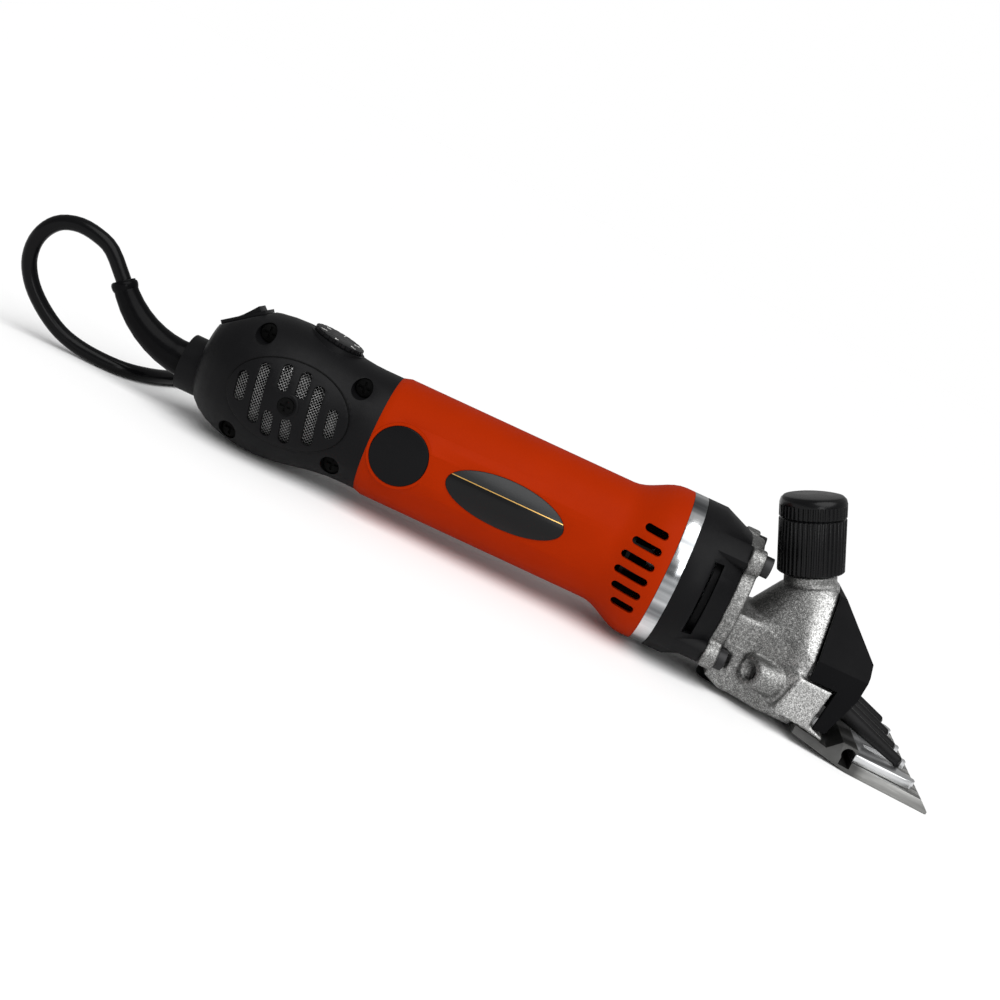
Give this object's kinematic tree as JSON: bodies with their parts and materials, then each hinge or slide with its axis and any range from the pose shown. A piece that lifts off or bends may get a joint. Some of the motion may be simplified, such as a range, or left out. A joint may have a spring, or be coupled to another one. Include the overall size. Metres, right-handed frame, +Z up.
{
  "type": "electric sheep shears",
  "caption": "Hand-held electric sheep shears: motor handle with vented rear housing, gear case, cast head with tension knob, swinging fork and cutter over a fixed comb, corded.",
  "frame": {"origin": "on the floor, under the middle of the tool without its cord", "axes": "+X forward to the comb, +Y to the tool's left, +Z up"},
  "size_m": [0.413, 0.1598, 0.0897],
  "materials": {
    "black_housing": "fine textured",
    "black_trim": "smooth",
    "orange_housing": "fine textured",
    "label_face": "gloss",
    "dark_steel": "blackened",
    "bright_steel": "ground",
    "core_steel": "laminated",
    "copper_wire": "lacquered",
    "brass_holder": "plain",
    "carbon": "matte",
    "board": "matte",
    "plate_aluminium": "turned",
    "cast_aluminium": "sand cast",
    "cord_rubber": "matte",
    "tie_fabric": "woven"
  },
  "bodies": {
    "handle": {"rear_housing_right": "black_housing", "rear_housing_left": "black_housing", "housing_screws": "dark_steel", "filter_cover_right": "black_housing", "filter_cover_left": "black_housing", "filter_gauzes": "bright_steel", "filter_screws": "dark_steel", "switch_body": "black_trim", "speed_board": "board", "cord_boot": "cord_rubber", "cord_clamp": "black_trim", "motor_housing": "orange_housing", "label_plate": "label_face", "brush_caps": "black_trim", "brush_holders": "brass_holder", "brushes": "carbon", "brush_springs": "bright_steel", "stator_core": "core_steel", "field_coils": "copper_wire", "motor_bearings": "bright_steel", "crank_bearings": "bright_steel", "bearing_plate": "plate_aluminium", "gear_case": "black_housing", "flange_bolts": "dark_steel", "head_casting": "cast_aluminium", "oil_plug": "black_trim", "nose_cover": "black_housing", "fulcrum_post": "bright_steel", "comb": "bright_steel", "comb_screws": "bright_steel", "cord_free": "cord_rubber", "cord_hank": "cord_rubber", "cord_tail": "cord_rubber", "cord_tie": "tie_fabric", "plug_body": "cord_rubber", "plug_pins": "bright_steel"},
    "armature": {"armature_shaft": "bright_steel", "armature_core": "core_steel", "armature_windings": "copper_wire", "commutator": "copper_wire", "cooling_fan": "black_trim", "pinion": "bright_steel"},
    "crank": {"crank_gear": "bright_steel", "crank_shaft": "bright_steel", "crank_roller": "bright_steel"},
    "fork": {"fork": "dark_steel", "cutter": "bright_steel"},
    "tension_pin": {"tension_pin": "bright_steel"},
    "tension_knob": {"tension_knob": "black_trim"},
    "switch_rocker": {"switch_rocker": "black_trim"},
    "speed_dial": {"speed_dial": "black_trim"}
  },
  "joints": [
    {"name": "armature_spin", "type": "hinge", "parent": "handle", "child": "armature", "pos_m": [0.03953, 0, 0.03317], "axis": [0.9996, 0, 0.0279], "continuous": true},
    {"name": "crank_spin", "type": "hinge", "parent": "handle", "child": "crank", "pos_m": [0.03998, 0, 0.01723], "axis": [0.9996, 0, 0.0279], "continuous": true},
    {"name": "fork_swing", "type": "hinge", "parent": "handle", "child": "fork", "pos_m": [0.10939, 0, 0.0232], "axis": [0, 0, 1], "range_deg": [-8, 8]},
    {"name": "pin_rise", "type": "slide", "parent": "handle", "child": "tension_pin", "axis": [-0.4321, 0, 0.9018], "range_m": [0, 0.0025]},
    {"name": "knob_turn", "type": "hinge", "parent": "tension_pin", "child": "tension_knob", "pos_m": [0.09298, 0, 0.05747], "axis": [-0.4321, 0, 0.9018], "range_deg": [0, 720]},
    {"name": "switch_rock", "type": "hinge", "parent": "handle", "child": "switch_rocker", "pos_m": [-0.15132, 0, 0.04833], "axis": [0, 1, 0], "range_deg": [0, 22]},
    {"name": "dial_turn", "type": "hinge", "parent": "handle", "child": "speed_dial", "pos_m": [-0.11435, 0, 0.05558], "axis": [0.1115, 0, 0.9938], "range_deg": [-135, 135]}
  ],
  "couplings": [
    {"joint": "crank_spin", "follows": "armature_spin", "ratio": -0.25},
    {"joint": "knob_turn", "follows": "pin_rise", "rad_per_m": 5026.5}
  ]
}
